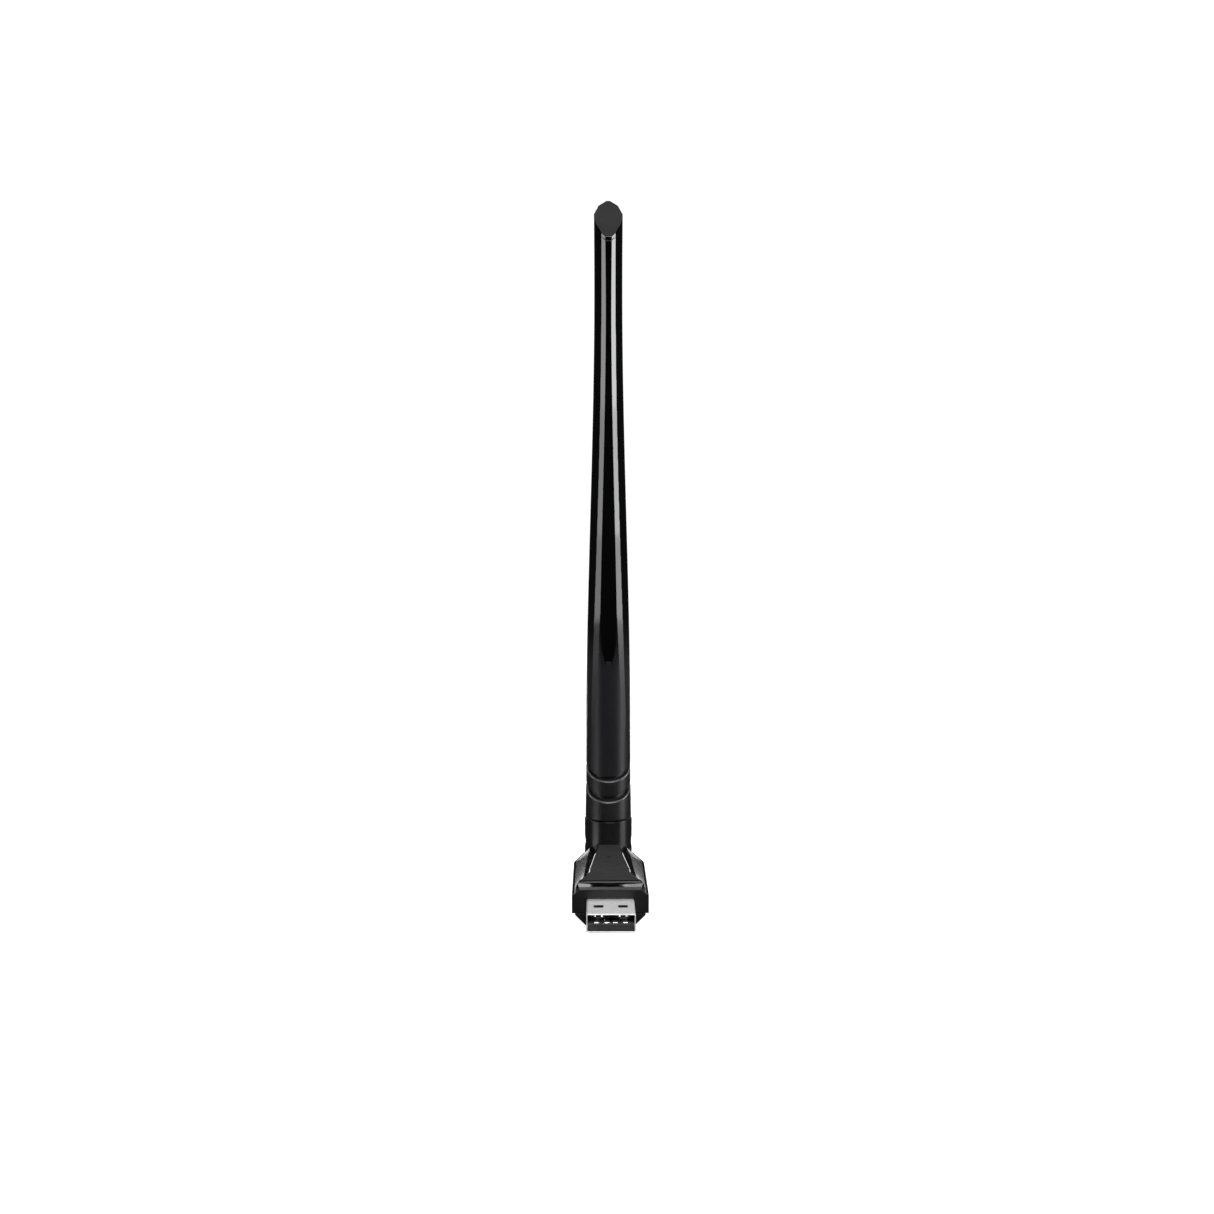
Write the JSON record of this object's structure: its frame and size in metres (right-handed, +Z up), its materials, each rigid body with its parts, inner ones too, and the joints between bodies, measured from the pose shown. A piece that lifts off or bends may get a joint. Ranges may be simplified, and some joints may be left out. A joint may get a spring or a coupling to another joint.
{
  "type": "usb wifi adapter",
  "caption": "USB wireless adapter: faceted black body with a type-A plug at the front and a tall stick antenna on a swivelling, folding knuckle at the rear.",
  "frame": {"origin": "centre of the USB plug in the plane of the body's front face, where the body stops against a port", "axes": "-Y along the plug towards its tip, +Z up the antenna at rest, +X to the right seen from the plug's tip"},
  "size_m": [0.0194, 0.0658, 0.1929],
  "materials": {
    "nickel_shell": "nickel plated, satin bright",
    "insulator": "moulded",
    "gold_contact": "gold plated",
    "gloss_cover": "glossy moulded",
    "gloss_antenna": "glossy above, satin at the foot",
    "matte_plate": "fine spark-eroded matte",
    "satin_case": "satin moulded",
    "circuit_board": "solder mask",
    "chip": "moulded",
    "light_pipe": "clear moulded",
    "bush": "natural acetal",
    "steel": "spring steel",
    "lead_jacket": "thin coax jacket"
  },
  "bodies": {
    "adapter": {"usb_shell": "nickel_shell", "usb_insulator": "insulator", "usb_contact_1": "gold_contact", "usb_contact_2": "gold_contact", "usb_contact_3": "gold_contact", "usb_contact_4": "gold_contact", "fast_contact_1": "gold_contact", "fast_contact_2": "gold_contact", "fast_contact_3": "gold_contact", "fast_contact_4": "gold_contact", "fast_contact_5": "gold_contact", "top_cover": "gloss_cover", "top_plate": "matte_plate", "bottom_tray": "satin_case", "main_board": "circuit_board", "radio_chip": "chip", "shield_can": "nickel_shell", "memory_chip": "chip", "crystal": "nickel_shell", "power_inductor": "chip", "led": "light_pipe", "led_light_pipe": "light_pipe", "coax_connector": "gold_contact", "body_lead": "lead_jacket", "swivel_bush": "bush"},
    "knuckle": {"swivel_knuckle": "gloss_cover", "friction_washer": "steel", "retaining_clip": "steel", "fold_pin": "steel"},
    "antenna": {"antenna_base": "satin_case", "fold_bush": "bush", "antenna_ring": "satin_case", "antenna_cover": "gloss_antenna", "antenna_tip_cap": "matte_plate", "aerial_board": "circuit_board", "antenna_lead": "lead_jacket"}
  },
  "joints": [
    {"name": "antenna_swivel", "type": "hinge", "parent": "adapter", "child": "knuckle", "pos_m": [0, 0.047, 0.0004], "axis": [0, 1, 0], "range_deg": [-90, 90]},
    {"name": "antenna_fold", "type": "hinge", "parent": "knuckle", "child": "antenna", "pos_m": [0, 0.047, 0.005], "axis": [-1, 0, 0], "range_deg": [0, 90]}
  ]
}
